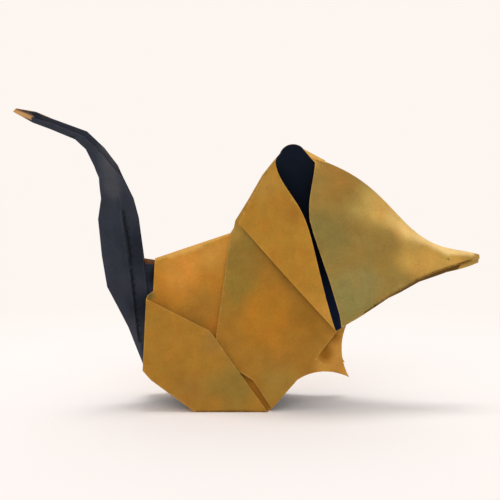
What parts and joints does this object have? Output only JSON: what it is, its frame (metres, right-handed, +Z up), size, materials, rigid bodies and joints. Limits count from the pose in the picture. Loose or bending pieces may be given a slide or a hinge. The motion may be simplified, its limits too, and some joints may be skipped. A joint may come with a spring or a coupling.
{
  "type": "origami mouse",
  "caption": "Sitting mouse wet-folded from a sheet of two-sided paper, ochre and navy, with a long pointed face, open ears, hollow body and a raised curling tail.",
  "frame": {"origin": "on the ground, below the middle of the length and width", "axes": "+X towards the nose, +Z up, Y = 0 is the plane the sheet is folded about"},
  "size_m": [0.1196, 0.03, 0.076],
  "materials": {
    "paper": "matte"
  },
  "bodies": {
    "root": {"folded_sheet": "paper"}
  },
  "joints": []
}
